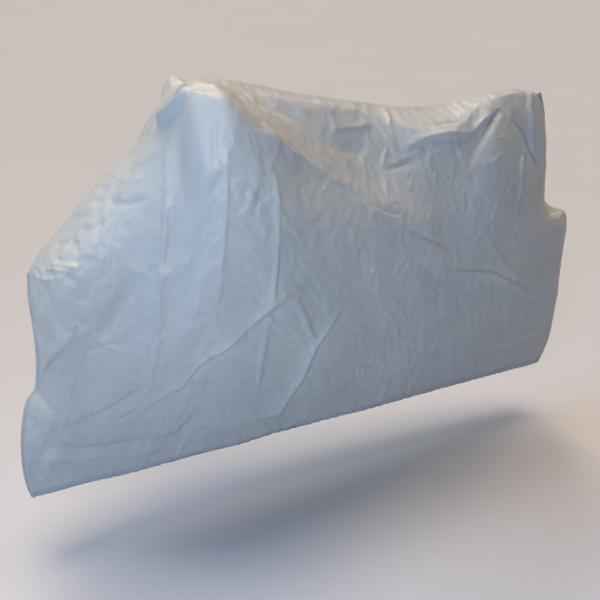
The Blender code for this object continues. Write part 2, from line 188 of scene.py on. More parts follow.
@dataclass(frozen=True)
class Crumples:
    """Small creases strewn about zones of one side, the same on each run.

    The pairs are the least and the most that a zone's own length, height and width,
    and a crease's width on its other side, are multiplied by. arm is how much of its
    length lies on each side of its bend.
    """

    seed: int
    zones: tuple[CrumpleZone, ...]
    scatter: float = 0.5
    arm: float = 0.6
    bend: float = 0.15
    lengths: tuple[float, float] = (0.35, 1.0)
    heights: tuple[float, float] = (0.4, 1.0)
    widths: tuple[float, float] = (0.6, 1.5)
    other_sides: tuple[float, float] = (0.7, 1.6)

    def folds(self) -> tuple[Fold, ...]:
        """Strews the creases.

        Returns:
            Crisp folds, each a short bent line.
        """
        chance = np.random.default_rng(self.seed)
        strewn = []
        for zone in self.zones:
            for _ in range(zone.count):
                middle = np.array([zone.along, zone.drop])
                centre = middle + chance.normal(0.0, self.scatter, 2) * zone.reach
                turn = math.radians(zone.heading + chance.normal(0.0, zone.spread))
                half = zone.length * chance.uniform(*self.lengths) * self.arm
                step = np.array([math.cos(turn), math.sin(turn)]) * half
                side = np.array([-step[1], step[0]]) * chance.normal(0.0, self.bend)
                path = tuple(tuple(float(v) for v in p)
                             for p in (centre - step, centre + side, centre + step))
                height = zone.height * chance.uniform(*self.heights) * chance.choice((-1.0, 1.0))
                width = zone.width * chance.uniform(*self.widths)
                other = width * chance.uniform(*self.other_sides)
                strewn.append(Fold("crumple", height, width, other, path, Profile.CRISP))
        return tuple(strewn)


def metres(points: Points) -> Points:
    """Turns points in millimetres into metres."""
    return tuple((first / MILLIMETRES, second / MILLIMETRES) for first, second in points)


def section(along: int, top_x: int, hem_x: int, *levels: tuple[int, int]) -> Section:
    """A section whose sizes are in millimetres."""
    return Section(along / MILLIMETRES, top_x / MILLIMETRES, hem_x / MILLIMETRES, metres(levels))


def seam(reach: int, *points: tuple[int, int]) -> Seam:
    """A sewn end whose sizes are in millimetres."""
    return Seam(reach / MILLIMETRES, metres(points))


def fold(name: str, lift: int, left: int, right: int, *path: tuple[int, int]) -> Fold:
    """A soft fold: lift and widths in tenths of a millimetre, the path in millimetres."""
    return Fold(name, lift / TENTHS, left / TENTHS, right / TENTHS, metres(path))


def crease(name: str, lift: int, width: int, *path: tuple[int, int]) -> Fold:
    """A sharp line that the coating keeps, in the units of fold, as wide on both sides."""
    side = width / TENTHS
    return Fold(name, CREASE_GAIN * (lift / TENTHS), side, side, metres(path), Profile.CRISP)


FRONT_END = section(0, -822, -873, (60, 800), (60, 760), (55, 700), (50, 620), (35, 500), (15, 360),
        (0, 197))
REAR_END = section(1850, 664, 903, (0, 1166), (0, 1100), (0, 1020), (0, 820), (0, 600), (0, 400),
        (0, 194))
FRONT_SEAM = seam(55, (197, -873), (240, -883), (300, -887), (360, -884), (430, -871), (480, -852),
        (495, -836), (520, -830), (610, -822), (680, -824), (730, -826), (800, -822))
REAR_SEAM = seam(160, (194, 903), (250, 917), (310, 927), (420, 926), (550, 911), (660, 898),
        (730, 892), (775, 866), (797, 800), (825, 768), (860, 760), (985, 730), (1110, 692),
        (1166, 664))

NEAR_SIDE = (
    FRONT_END,
    section(100, -790, -822, (60, 838), (-10, 840), (-70, 820), (-85, 700), (-80, 550), (-60, 380),
        (-30, 222)),
    section(200, -720, -750, (50, 915), (-30, 920), (-100, 895), (-120, 780), (-120, 600), (-95, 420),
        (-55, 245)),
    section(330, -625, -630, (30, 1025), (-40, 1030), (-105, 1010), (-150, 880), (-165, 680),
        (-135, 460), (-85, 262)),
    section(440, -540, -540, (0, 1115), (-55, 1135), (-112, 1132), (-220, 965), (-222, 740),
        (-170, 500), (-105, 280)),
    section(500, -492, -489, (-12, 1206), (-100, 1240), (-184, 1249), (-252, 1090), (-252, 775),
        (-192, 518), (-114, 288)),
    section(540, -460, -455, (-20, 1239), (-132, 1259), (-212, 1250), (-264, 1125), (-262, 800),
        (-210, 530), (-120, 292)),
    section(640, -370, -360, (-20, 1242), (-85, 1229), (-215, 1186), (-281, 1020), (-272, 780),
        (-220, 530), (-128, 298)),
    section(820, -200, -180, (0, 1206), (-58, 1186), (-164, 1078), (-236, 950), (-250, 740),
        (-215, 510), (-138, 308)),
    section(1030, 10, 40, (0, 1172), (-38, 1152), (-124, 1028), (-195, 885), (-213, 690), (-190, 490),
        (-138, 305)),
    section(1250, 220, 280, (0, 1146), (-108, 1102), (-124, 1035), (-166, 840), (-175, 660),
        (-160, 480), (-122, 293)),
    section(1450, 400, 500, (0, 1165), (-52, 1162), (-76, 1145), (-150, 920), (-150, 660), (-132, 460),
        (-105, 280)),
    section(1640, 540, 700, (0, 1178), (-30, 1175), (-45, 1155), (-99, 920), (-106, 640), (-102, 430),
        (-78, 258)),
    section(1760, 620, 820, (0, 1172), (-26, 1165), (-40, 1130), (-50, 900), (-60, 620), (-60, 420),
        (-45, 230)),
    REAR_END,
)

FAR_SIDE = (
    FRONT_END,
    section(100, -790, -822, (60, 838), (85, 830), (100, 800), (105, 700), (95, 550), (70, 380),
        (35, 222)),
    section(200, -720, -750, (50, 915), (90, 905), (115, 870), (130, 780), (125, 600), (95, 420),
        (55, 245)),
    section(330, -625, -630, (30, 1025), (80, 1010), (120, 970), (150, 880), (165, 680), (135, 460),
        (85, 262)),
    section(440, -540, -540, (0, 1115), (70, 1090), (120, 1050), (170, 940), (200, 740), (165, 500),
        (105, 280)),
    section(500, -492, -489, (-12, 1206), (76, 1156), (152, 1115), (198, 1000), (225, 775), (184, 518),
        (114, 288)),
    section(540, -455, -455, (-20, 1239), (80, 1190), (170, 1150), (215, 1030), (240, 800), (195, 530),
        (120, 292)),
    section(620, -395, -380, (-20, 1244), (130, 1205), (235, 1203), (260, 1050), (250, 790),
        (200, 530), (125, 295)),
    section(700, -320, -300, (-10, 1228), (90, 1180), (180, 1120), (255, 1000), (245, 780), (200, 530),
        (132, 302)),
    section(820, -200, -180, (0, 1206), (60, 1170), (130, 1090), (220, 970), (225, 740), (185, 510),
        (138, 308)),
    section(1030, 10, 40, (0, 1172), (50, 1140), (110, 1060), (190, 900), (195, 690), (165, 490),
        (138, 305)),
    section(1250, 220, 280, (0, 1146), (50, 1115), (90, 1050), (150, 860), (155, 660), (140, 480),
        (122, 293)),
    section(1450, 400, 500, (0, 1165), (55, 1140), (90, 1100), (120, 900), (125, 660), (120, 460),
        (105, 280)),
    section(1640, 540, 700, (0, 1178), (35, 1165), (60, 1130), (85, 920), (95, 640), (95, 430),
        (78, 258)),
    section(1760, 620, 820, (0, 1172), (26, 1160), (40, 1120), (50, 900), (60, 620), (60, 420),
        (45, 230)),
    REAR_END,
)

NEAR_FOLDS = (
    # From the near peak.
    fold("lip", 130, 90, 100, (512, 100), (487, 118), (474, 96), (466, 65), (467, 10)),
    fold("lip hollow", -120, 140, 140, (510, 20), (498, 55), (486, 80)),
    fold("peak crest", 20, 200, 200, (520, 270), (530, 360), (525, 500), (517, 700), (513, 900)),
    fold("hanging band", 70, 180, 180, (500, 110), (475, 190), (480, 270), (500, 380)),
    fold("hollow band", -70, 220, 240, (490, 90), (460, 160), (430, 240), (390, 360)),
    fold("swag", 100, 450, 300, (550, 262), (630, 235), (700, 230), (780, 230), (880, 248), (960, 285),
        (1120, 333), (1240, 410)),
    fold("swag, rear", 90, 450, 260, (1150, 425), (1210, 468), (1300, 498), (1400, 530), (1510, 578),
        (1640, 643), (1760, 700)),
    fold("strip edge", 50, 180, 180, (720, 45), (800, 58), (860, 60), (920, 52), (995, 42),
        (1050, 30)),
    fold("valley", -80, 280, 220, (680, 60), (760, 90), (810, 105), (860, 130), (910, 150), (970, 155),
        (1030, 140)),
    fold("lens crest", 30, 220, 100, (900, 108), (950, 100), (1000, 90), (1050, 75)),
    # Round the rear corner of the top.
    fold("top ledge", 50, 300, 120, (1100, 145), (1150, 132), (1210, 121), (1350, 122), (1420, 102),
        (1520, 65)),
    fold("cross crease", 10, 100, 80, (1036, 27), (1065, 72), (1086, 124), (1100, 150)),
    fold("tuck", -20, 100, 140, (1046, 199), (1077, 190), (1122, 182), (1156, 175), (1210, 155)),
    fold("corner hollow", -60, 140, 220, (1510, 75), (1460, 110), (1430, 130), (1370, 172),
        (1330, 220)),
    fold("corner crest", 40, 100, 140, (1520, 80), (1573, 128), (1600, 190), (1575, 245), (1566, 296),
        (1549, 354), (1547, 430)),
    fold("corner hollow, lower", -30, 120, 120, (1570, 160), (1590, 200), (1595, 260), (1568, 335),
        (1555, 420)),
    fold("rear hollow", -80, 300, 220, (1540, 95), (1600, 145), (1660, 190), (1740, 262)),
    fold("rear edge", 30, 160, 140, (1760, 10), (1680, 70), (1665, 130), (1665, 180), (1720, 240)),
    fold("rear pull", 50, 140, 200, (1390, 420), (1450, 490), (1500, 535), (1580, 585)),
    fold("rear pull, lower", 40, 140, 160, (1530, 440), (1550, 500), (1590, 560)),
    # At the front, below the slope.
    fold("front tuck", 40, 70, 300, (160, 332), (140, 318), (100, 302), (55, 275), (20, 284),
        (0, 302)),
    fold("soft hollow", -80, 180, 300, (330, 290), (300, 325), (260, 350), (220, 380)),
    fold("gather, upper", -70, 140, 220, (60, 480), (120, 545), (190, 585), (285, 606), (360, 610)),
    fold("gather, middle", -60, 140, 200, (40, 490), (120, 600), (200, 690), (300, 760), (430, 900),
        (520, 1100)),
    fold("gather, lower", 90, 220, 120, (40, 530), (100, 620), (170, 695), (250, 750), (340, 835),
        (430, 915)),
    # Across the middle and along the hem.
    fold("long diagonal", 60, 160, 220, (760, 515), (705, 557), (674, 591), (633, 639), (598, 697),
        (554, 769), (505, 790), (460, 735), (410, 688), (300, 672)),
    fold("crest", 60, 140, 200, (880, 555), (845, 613), (818, 657), (795, 720), (781, 784), (752, 867),
        (690, 1030)),
    fold("crest, fork", 30, 120, 120, (720, 570), (756, 611), (777, 643), (800, 680)),
    fold("hem roll", 90, 450, 100, (460, 1040), (590, 1062), (695, 975), (824, 878), (950, 858),
        (1107, 803), (1280, 803), (1480, 828), (1650, 822), (1800, 820)),
    fold("packing crease, front", 30, 100, 100, (440, 110), (420, 180), (400, 250), (385, 340),
        (373, 470), (355, 640)),
    fold("packing crease, middle", 30, 100, 100, (662, 290), (658, 360), (660, 450), (658, 570),
        (652, 680), (655, 900)),
)

FAR_FOLDS = (
    fold("peak crest", 120, 220, 220, (620, 270), (610, 420), (620, 600), (600, 880)),
    fold("band", -120, 280, 280, (550, 160), (500, 280), (460, 420), (450, 580)),
    fold("swag", 220, 600, 240, (650, 270), (760, 270), (930, 340), (1200, 410), (1500, 570),
        (1740, 630)),
    fold("valley", -180, 450, 500, (700, 130), (820, 120), (980, 150), (1080, 220)),
    fold("top ledge", 120, 500, 120, (1140, 160), (1260, 130), (1400, 130), (1500, 90)),
    fold("corner crest", 120, 180, 220, (1500, 100), (1540, 200), (1560, 320), (1530, 440)),
    fold("rear pull", 90, 160, 220, (1280, 440), (1420, 560), (1560, 620)),
    fold("front tuck", -120, 160, 220, (150, 330), (100, 340), (50, 320)),
    fold("gather, upper", -100, 160, 220, (70, 500), (150, 600), (270, 660), (380, 640)),
    fold("gather, lower", 100, 220, 120, (100, 620), (210, 730), (350, 830), (460, 1000)),
    fold("long diagonal", 90, 160, 200, (980, 480), (880, 620), (770, 720), (620, 800), (500, 770)),
    fold("crest", 100, 160, 200, (1220, 520), (1140, 640), (1100, 760), (1020, 860)),
    fold("hem roll", 100, 400, 160, (500, 1040), (740, 980), (1050, 860), (1400, 820), (1740, 830)),
)

NEAR_CREASES = (
    # Round the near peak and down the slope.
    crease("lip", 50, 45, (510, 105), (487, 118), (474, 96), (466, 65), (467, 10)),
    crease("lip, inside", -50, 60, (515, 10), (495, 20), (480, 15)),
    crease("lip, dark line", -70, 60, (505, 12), (492, 50), (484, 85)),
    crease("lip, pleat", 20, 40, (505, 0), (488, 50)),
    crease("slope edge", 32, 120, (460, 40), (430, 75), (390, 82), (340, 100), (280, 145), (245, 156),
        (200, 178)),
    crease("slope pull", 24, 45, (400, 78), (435, 112)),
    crease("slope pull", 24, 45, (385, 78), (420, 108)),
    crease("slope pull", 24, 45, (335, 85), (363, 113), (395, 140)),
    crease("slope tuck", -50, 60, (285, 75), (304, 116), (327, 147), (355, 168), (380, 180)),
    crease("slope tuck", -40, 65, (200, 65), (230, 108), (256, 121), (300, 145)),
    crease("slope tuck", -32, 65, (140, 10), (180, 95), (210, 128)),
    crease("elbow", 40, 26, (95, 55), (130, 110), (180, 186)),
    crease("elbow", 40, 26, (80, 50), (120, 115), (170, 185)),
    crease("elbow", 38, 26, (40, 22), (80, 90), (130, 152)),
    crease("elbow", -24, 40, (110, 55), (150, 120), (190, 175)),
    crease("packing crease, front", 26, 30, (440, 110), (420, 180), (400, 250), (385, 340), (373, 470),
        (355, 640)),
    crease("packing crease, front twin", 16, 40, (395, 400), (382, 500), (372, 580)),
    crease("tie to the peak", 24, 45, (475, 225), (449, 188), (419, 183)),
    crease("peak wedge, left", 24, 50, (488, 154), (483, 260), (486, 302), (494, 367)),
    crease("peak wedge, right", 24, 50, (512, 270), (512, 353), (497, 377)),
    crease("fine line", 16, 30, (410, 205), (450, 215), (490, 225)),
    crease("fine line", 16, 30, (400, 225), (440, 235)),
    # Below the slope and round the front.
    crease("front tuck", -60, 40, (0, 315), (23, 292), (55, 281), (101, 311), (141, 326), (169, 346)),
    crease("front tuck, tail", -36, 34, (150, 330), (209, 390), (252, 410), (290, 435)),
    crease("front tuck, upper", 24, 60, (105, 265), (167, 320), (235, 338)),
    crease("gather", -36, 32, (80, 508), (160, 574), (217, 592), (285, 606), (350, 612)),
    crease("gather", -30, 30, (225, 615), (299, 661), (335, 665)),
    crease("gather", -40, 32, (50, 505), (175, 665), (293, 755), (420, 890)),
    crease("gather", -55, 34, (50, 556), (157, 693), (242, 755), (336, 840), (415, 905)),
    crease("gather", 24, 40, (310, 605), (325, 635), (300, 655)),
    crease("upright line, front", 16, 40, (185, 240), (179, 334), (174, 390), (150, 425), (156, 550)),
    # From the peak along the swag.
    crease("peak line", 40, 30, (532, 265), (532, 320), (532, 360), (530, 420), (522, 572),
        (517, 700)),
    crease("band, upper edge", -16, 60, (660, 80), (760, 93), (805, 110), (856, 144), (904, 175),
        (959, 200)),
    crease("band, lower edge", 20, 50, (572, 233), (624, 234), (698, 229), (778, 228), (885, 244)),
    crease("band, second line", 14, 45, (543, 264), (600, 275), (700, 263), (774, 264)),
    crease("swag line", -40, 50, (800, 266), (844, 259), (894, 265), (964, 287), (1061, 310),
        (1124, 333)),
    crease("swag line, middle", -42, 44, (1071, 341), (1139, 364), (1192, 395), (1244, 424),
        (1324, 463)),
    crease("swag line, rear", -46, 44, (1157, 428), (1203, 470), (1292, 496), (1385, 524), (1493, 572),
        (1584, 613), (1630, 641), (1725, 698)),
    crease("swag nick", 24, 30, (884, 237), (882, 252)),
    crease("swag nick", 24, 30, (935, 235), (936, 280)),
    crease("second upright", 24, 40, (662, 295), (656, 339), (661, 360), (684, 389), (698, 422)),
    crease("strip edge", 24, 60, (779, 39), (824, 45), (876, 46), (938, 37), (1008, 24)),
    crease("lens edge", 22, 45, (1065, 72), (1010, 87), (963, 99), (929, 104)),
    crease("cross crease", 22, 30, (1036, 27), (1065, 72), (1086, 124), (1105, 154)),
    crease("cross crease, lower", 32, 30, (1079, 128), (1060, 160), (1040, 193)),
    crease("cross crease, foot", 32, 30, (1053, 204), (1033, 280)),
    crease("cross crease, toe", 24, 40, (1033, 280), (1079, 273)),
    crease("top pleat", 40, 40, (1121, 10), (1110, 50), (1097, 97)),
    crease("tuck", -20, 45, (1046, 199), (1077, 190), (1122, 182), (1156, 175)),
    # The ledge and the rear corner.
    crease("ledge", 44, 65, (1100, 145), (1167, 128), (1207, 121), (1276, 118), (1365, 123),
        (1400, 107), (1451, 93), (1526, 63)),
    crease("ledge, left end", 32, 50, (1097, 100), (1100, 145)),
    crease("top wrinkle", -32, 50, (1200, 86), (1235, 88), (1297, 84), (1356, 98)),
    crease("corner, left line", -40, 50, (1516, 75), (1430, 128), (1369, 172)),
    crease("corner, crest", 36, 40, (1525, 83), (1573, 128), (1600, 190), (1571, 245), (1566, 296),
        (1549, 354), (1547, 413)),
    crease("corner, dark line", -50, 45, (1580, 153), (1584, 195), (1612, 218), (1594, 258),
        (1568, 335)),
    crease("rear strip", 40, 50, (1732, 29), (1675, 77), (1683, 122), (1670, 172), (1726, 225)),
    crease("rear band", -40, 60, (1543, 94), (1600, 141), (1655, 187), (1730, 256)),
    crease("corner, level line", 16, 30, (1437, 163), (1536, 165)),
    crease("corner, cross line", 24, 40, (1369, 223), (1420, 218), (1466, 206)),
    crease("corner, nick", 40, 40, (1517, 270), (1474, 323)),
    crease("rear curl", -50, 45, (1770, 388), (1800, 385), (1830, 380)),
    crease("rear pull", -32, 45, (1394, 427), (1454, 484), (1511, 532), (1576, 574)),
    crease("rear pull, lower", -32, 45, (1509, 444), (1543, 495), (1583, 533)),
    # The wrinkles under the ledge.
    crease("fork, left arm", 32, 40, (1205, 173), (1257, 157), (1290, 146)),
    crease("wrinkle", 24, 40, (1201, 166), (1193, 207)),
    crease("wrinkle", -32, 40, (1290, 146), (1294, 172), (1310, 208), (1306, 238)),
    crease("wrinkle", -32, 40, (1289, 225), (1276, 274)),
    crease("wrinkle", 24, 40, (1214, 210), (1209, 249)),
    crease("wrinkle", 24, 40, (1131, 192), (1116, 224)),
    crease("wrinkle", -32, 40, (1333, 229), (1348, 253), (1347, 286)),
    crease("wrinkle", 32, 40, (1358, 248), (1392, 308), (1451, 365)),
    crease("wrinkle", -32, 40, (1312, 273), (1329, 335)),
    crease("wrinkle", 40, 30, (1328, 301), (1345, 330), (1359, 362)),
    crease("wrinkle", 40, 30, (1261, 283), (1282, 335)),
    crease("wrinkle", 32, 40, (1397, 338), (1394, 372)),
    crease("wrinkle", 40, 30, (1362, 367), (1339, 375)),
    crease("wrinkle", 32, 40, (1132, 215), (1128, 251)),
    crease("wrinkle", 32, 30, (1040, 332), (1080, 334), (1114, 336)),
    crease("wrinkle", 24, 40, (1321, 362), (1325, 404)),
    # Across the middle.
    crease("long diagonal", 50, 36, (749, 522), (705, 557), (674, 591), (633, 639), (598, 697),
        (554, 769), (509, 796), (460, 739), (410, 688), (311, 674)),
    crease("long diagonal, lower", -40, 45, (644, 634), (602, 697), (533, 802), (465, 742)),
    crease("crest", 55, 36, (872, 562), (845, 613), (818, 657), (801, 695), (781, 784), (752, 867),
        (712, 990), (696, 1040)),
    crease("crest, fork", 32, 45, (731, 583), (756, 611), (777, 643), (797, 673)),
    crease("crest, level line", 16, 30, (837, 676), (935, 663)),
    crease("middle upright", 32, 30, (656, 448), (662, 507), (656, 571), (657, 627)),
    crease("middle upright, lower", 26, 30, (652, 680), (649, 737), (651, 820), (658, 913)),
    crease("rear upright", 24, 40, (975, 378), (975, 422), (971, 496)),
    crease("bundle", 24, 30, (1052, 540), (1118, 620)),
    crease("bundle", 32, 30, (1063, 605), (1106, 695)),
    crease("bundle", 24, 30, (1024, 585), (1044, 652)),
    crease("bundle", 24, 30, (1132, 685), (1143, 788)),
    crease("bundle", 24, 30, (1045, 695), (1064, 660)),
    crease("bundle", 24, 30, (981, 700), (993, 825)),
    crease("bundle", 24, 30, (1014, 698), (1006, 762)),
    crease("rear line", 16, 30, (1232, 437), (1215, 468), (1214, 539), (1192, 585)),
    crease("rear line", 16, 30, (1320, 690), (1303, 805)),
    crease("low crossing", 24, 40, (506, 800), (498, 860), (504, 980)),
    crease("hem nick", 24, 30, (755, 947), (786, 939)),
    # The crumpled patch beside the peak line.
    crease("patch", 24, 40, (538, 378), (580, 362)),
    crease("patch", 32, 40, (614, 333), (596, 371), (583, 418), (579, 437)),
    crease("patch", -32, 40, (620, 345), (603, 398), (594, 436)),
    crease("patch", 24, 30, (576, 373), (549, 407)),
    crease("patch", 24, 30, (587, 408), (560, 450)),
    crease("patch", 24, 30, (564, 401), (541, 424)),
    crease("patch", 24, 40, (604, 445), (643, 417)),
    crease("patch", 24, 30, (631, 433), (618, 470)),
    # Above the hem.
    crease("hem line", -60, 40, (520, 1095), (591, 1072), (695, 986), (824, 885), (953, 864),
        (1026, 842), (1107, 809), (1278, 810), (1381, 827), (1483, 834), (1612, 826), (1698, 831),
        (1778, 827)),
)

FAR_CREASES = (
    crease("peak line", 40, 40, (620, 290), (612, 420), (618, 600), (600, 880)),
    crease("peak, second line", 30, 40, (600, 240), (570, 340), (560, 460)),
    crease("band edge", -36, 50, (550, 170), (500, 290), (470, 420), (450, 580)),
    crease("swag line", -40, 50, (660, 300), (780, 300), (930, 370), (1200, 440)),
    crease("swag line, rear", -40, 50, (1100, 420), (1300, 500), (1520, 600), (1740, 660)),
    crease("ledge", 44, 60, (1100, 170), (1260, 130), (1400, 130), (1500, 90)),
    crease("corner line", 40, 40, (1500, 100), (1540, 200), (1560, 320), (1530, 440)),
    crease("corner, dark line", -36, 40, (1470, 120), (1430, 200), (1360, 280)),
    crease("cross crease", 30, 30, (1000, 40), (1040, 120), (1020, 220), (1030, 320)),
    crease("rear pull", -30, 40, (1280, 460), (1420, 580), (1560, 640)),
    crease("front tuck", -50, 40, (0, 315), (50, 310), (100, 350), (170, 340)),
    crease("gather", -30, 40, (70, 500), (150, 610), (270, 670), (380, 650)),
    crease("gather", -36, 50, (100, 620), (210, 740), (350, 840), (460, 1000)),
    crease("packing crease, front", 24, 30, (380, 140), (365, 340), (370, 600)),
    crease("packing crease, rear", 24, 30, (1200, 200), (1210, 450), (1190, 700)),
    crease("long diagonal", 40, 50, (980, 480), (880, 620), (770, 720), (620, 810), (500, 780)),
    crease("crest", 40, 40, (1220, 520), (1140, 640), (1100, 760), (1020, 860)),
    crease("crest, fork", 30, 40, (1020, 560), (1060, 660), (1100, 760)),
    crease("hem line", -40, 50, (500, 1070), (740, 1000), (1050, 870), (1400, 830), (1740, 840)),
)

NEAR_FACETS = (Facets(3, 260, 0.034, 75.0, 1.9), Facets(5, 320, -0.030, 35.0, 1.7))
FAR_FACETS = (Facets(13, 260, 0.034, 105.0, 1.9), Facets(15, 320, -0.030, 145.0, 1.7))

NEAR_CRUMPLES = Crumples(7, (
    # Beside the near peak, where the cloth is the most crumpled.
    CrumpleZone(0.74, 0.20, 0.16, 60, 60.0, 30.0, 0.0022),
    CrumpleZone(1.40, 0.30, 0.20, 50, 80.0, 30.0, 0.0018),
    CrumpleZone(1.00, 0.50, 0.40, 60, 60.0, 60.0, 0.0014),
    CrumpleZone(0.35, 0.40, 0.30, 60, 80.0, 60.0, 0.0012),
    CrumpleZone(0.90, 0.80, 0.50, 70, 40.0, 60.0, 0.0012),
    CrumpleZone(0.20, 0.12, 0.15, 40, 80.0, 30.0, 0.0016),
))
FAR_CRUMPLES = Crumples(11, (
    CrumpleZone(0.80, 0.25, 0.25, 60, 60.0, 50.0, 0.0020),
    CrumpleZone(1.40, 0.40, 0.30, 60, 80.0, 50.0, 0.0018),
    CrumpleZone(0.40, 0.50, 0.40, 60, 80.0, 60.0, 0.0014),
    CrumpleZone(1.00, 0.80, 0.50, 80, 40.0, 60.0, 0.0012),
))

CLOTH_SETTINGS = {
    "quality": 5, "mass": 0.12, "bending_stiffness": 0.12, "tension_stiffness": 25.0,
    "compression_stiffness": 25.0, "shear_stiffness": 15.0, "bending_damping": 0.5,
    "tension_damping": 6.0, "compression_damping": 6.0, "shear_damping": 6.0,
    "air_damping": 3.0, "pin_stiffness": 0.6,
}
"""How the cloth behaves in the simulation."""


def eased(share: np.ndarray, height: float | np.ndarray = 1.0) -> np.ndarray:
    """Rises smoothly from 0 to height as a share goes from 0 to 1."""
    return height * share**2 * (3.0 - 2.0 * share)


def slopes(places: np.ndarray, values: np.ndarray, looseness: float) -> np.ndarray:
    """Finds a curve's slopes at the points that it runs through.

    Args:
        places: the points' places, rising.
        values: one row of values for each point.
        looseness: 0 for slopes that never overshoot, 1 for freely rounded ones.

    Returns:
        One row of slopes for each point.
    """
    gaps = np.diff(places)[:, None]
    steep = np.diff(values, axis=0) / gaps
    same = steep[:-1] * steep[1:] > 0.0
    before = np.where(same, steep[:-1], 1.0)
    after = np.where(same, steep[1:], 1.0)
    weight_before = 2.0 * gaps[1:] + gaps[:-1]
    weight_after = gaps[1:] + 2.0 * gaps[:-1]
    mean = (weight_before + weight_after) / (weight_before / before + weight_after / after)
    tight = np.zeros_like(values)
    tight[0] = steep[0]
    tight[1:-1] = np.where(same, mean, 0.0)
    tight[-1] = steep[-1]
    return tight * (1.0 - looseness) + np.gradient(values, places, axis=0) * looseness


def curve(places: ArrayLike, values: ArrayLike, at: np.ndarray, looseness: float) -> np.ndarray:
    """Reads a smooth curve at any place.

    Args:
        places: the places of the points that it runs through, rising.
        values: one value or row of values for each point.
        at: the places to read.
        looseness: 0 for a curve that never overshoots, 1 for a freely rounded one.

    Returns:
        One row of values for each place in at.
    """
    places = np.asarray(places, dtype=float)
    values = np.asarray(values, dtype=float).reshape(len(places), -1)
    slope = slopes(places, values, looseness)
    span = np.clip(np.searchsorted(places, at, side="right") - 1, 0, len(places) - 2)
    gap = (places[span + 1] - places[span])[:, None]
    t = (at[:, None] - places[span][:, None]) / gap
    rise = 3.0 * t**2 - 2.0 * t**3
    return (values[span] * (1.0 - rise) + values[span + 1] * rise
            + gap * slope[span] * (t**3 - 2.0 * t**2 + t)
            + gap * slope[span + 1] * (t**3 - t**2))


def lengths_along(points: np.ndarray) -> np.ndarray:
    """The distance of each of a line's points from its first one."""
    return np.concatenate([[0.0], np.cumsum(np.hypot(*np.diff(points, axis=0).T))])


@dataclass(frozen=True)
class LoftedSide:
    """One side of the cover, without its folds."""

    sections: tuple[Section, ...]

    def surface(self, alongs: np.ndarray, shares: np.ndarray) -> tuple[np.ndarray, np.ndarray]:
        """Lofts the side.

        Args:
            alongs: places from front to rear.
            shares: shares of the way down the cloth, from the top line to the hem.

        Returns:
            The points as (along, share, xyz), and their drops from the top line.
        """
        places = [row.along for row in self.sections]
        top_x, hem_x = (curve(places, line, alongs, LINE_LOOSENESS) for line in (
            [row.top_x for row in self.sections], [row.hem_x for row in self.sections]))
        levels = [curve(places, level, alongs, LEVEL_LOOSENESS)
                  for level in zip(*(row.levels for row in self.sections))]
        points = np.zeros((len(alongs), len(shares), 3))
        drops = np.zeros((len(alongs), len(shares)))
        for i, upright in enumerate(np.stack(levels, axis=1)):
            lengths = lengths_along(upright)
            drops[i] = shares * lengths[-1]
            points[i, :, 1:] = curve(lengths, upright, drops[i], LINE_LOOSENESS)
            fall = (upright[0, 1] - points[i, :, 2]) / (upright[0, 1] - upright[-1, 1])
            points[i, :, 0] = top_x[i] + (hem_x[i] - top_x[i]) * np.clip(fall, 0.0, 1.0)
        for end, distances in ((FRONT_SEAM, alongs), (REAR_SEAM, alongs[-1] - alongs)):
            fading = np.exp(-(distances[:, None] / end.reach) ** 2)
            points[:, :, 0] += end.bow(points[:, :, 2]) * fading
        return points, drops


